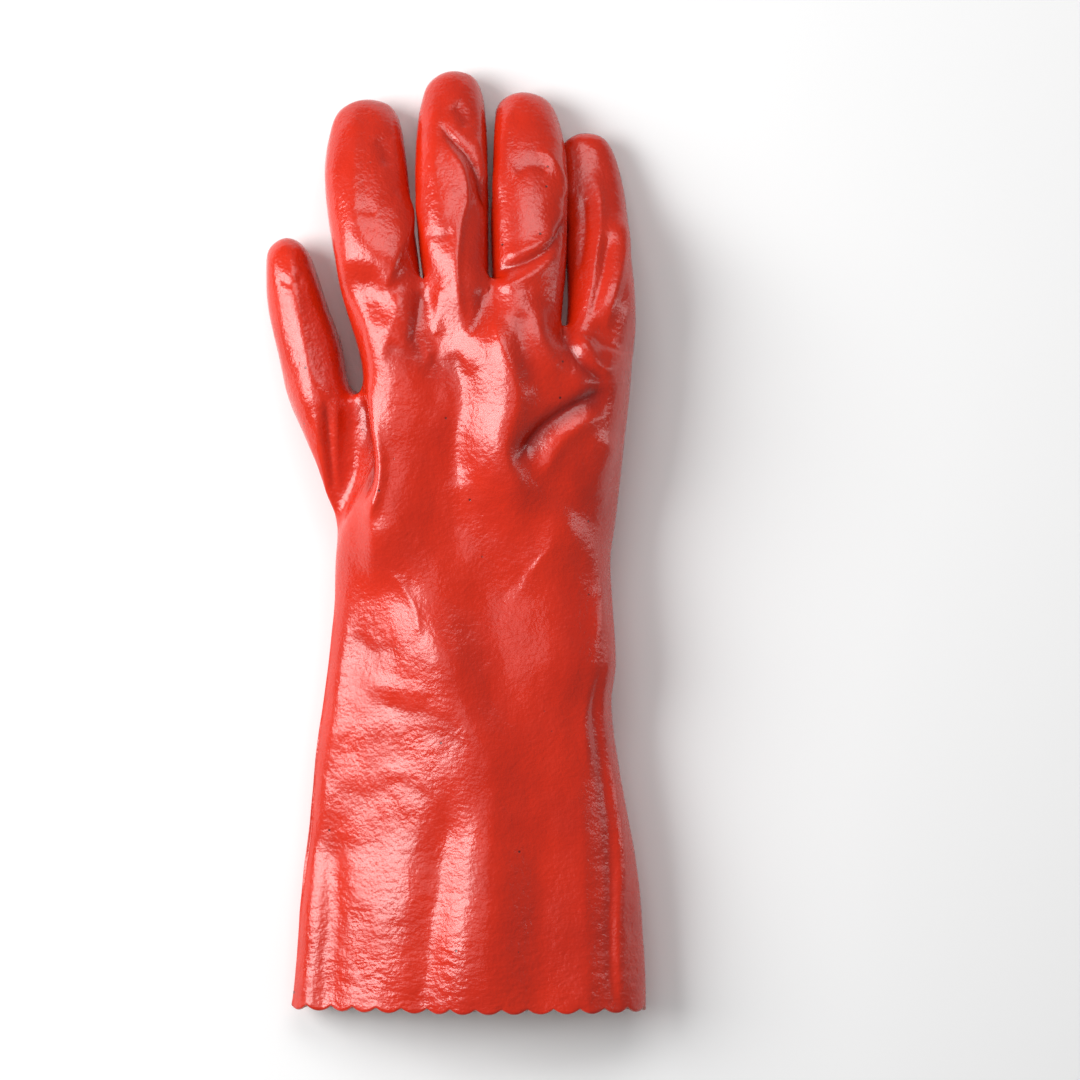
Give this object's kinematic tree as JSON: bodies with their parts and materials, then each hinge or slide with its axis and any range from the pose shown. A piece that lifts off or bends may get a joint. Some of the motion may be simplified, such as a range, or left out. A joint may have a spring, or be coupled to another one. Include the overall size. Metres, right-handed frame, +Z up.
{
  "type": "pvc coated work glove",
  "caption": "Long gauntlet work glove for the right hand, dipped in glossy PVC, lying palm down with a flared cuff and a pinked hem; covers hand and forearm against liquids.",
  "frame": {"origin": "middle of the bounding box in plan, on the table that the glove lies on", "axes": "+Y from the hem to the fingertips, +Z up from the palm to the back of the hand, thumb towards -X"},
  "size_m": [0.1626, 0.4006, 0.0584],
  "materials": {
    "pvc_coating": "glossy red PVC"
  },
  "bodies": {
    "root": {"glove_shell": "pvc_coating"}
  },
  "joints": []
}
